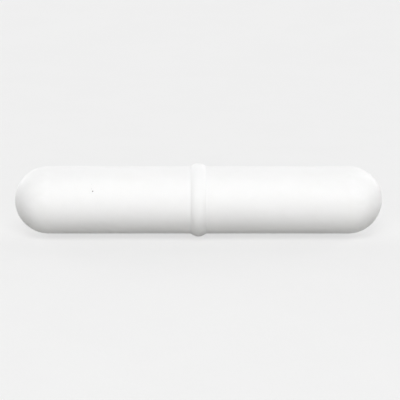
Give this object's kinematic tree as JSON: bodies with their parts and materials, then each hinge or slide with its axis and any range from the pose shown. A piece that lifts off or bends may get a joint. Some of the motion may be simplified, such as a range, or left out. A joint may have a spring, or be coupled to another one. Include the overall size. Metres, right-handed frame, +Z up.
{
  "type": "magnetic stir bar",
  "caption": "White pill-shaped stir bar: a smooth PTFE jacket with domed ends and a raised pivot ring, sealed round a bar magnet.",
  "frame": {"origin": "middle of the bar, on its axis, under the pivot ring's crest", "axes": "+X along the bar, +Z up as it lies level, Y across it"},
  "size_m": [0.0508, 0.0102, 0.0102],
  "materials": {
    "ptfe": "smooth white PTFE, satin",
    "cast_magnet": "cast AlNiCo, ground"
  },
  "bodies": {
    "root": {"jacket": "ptfe", "magnet": "cast_magnet"}
  },
  "joints": []
}
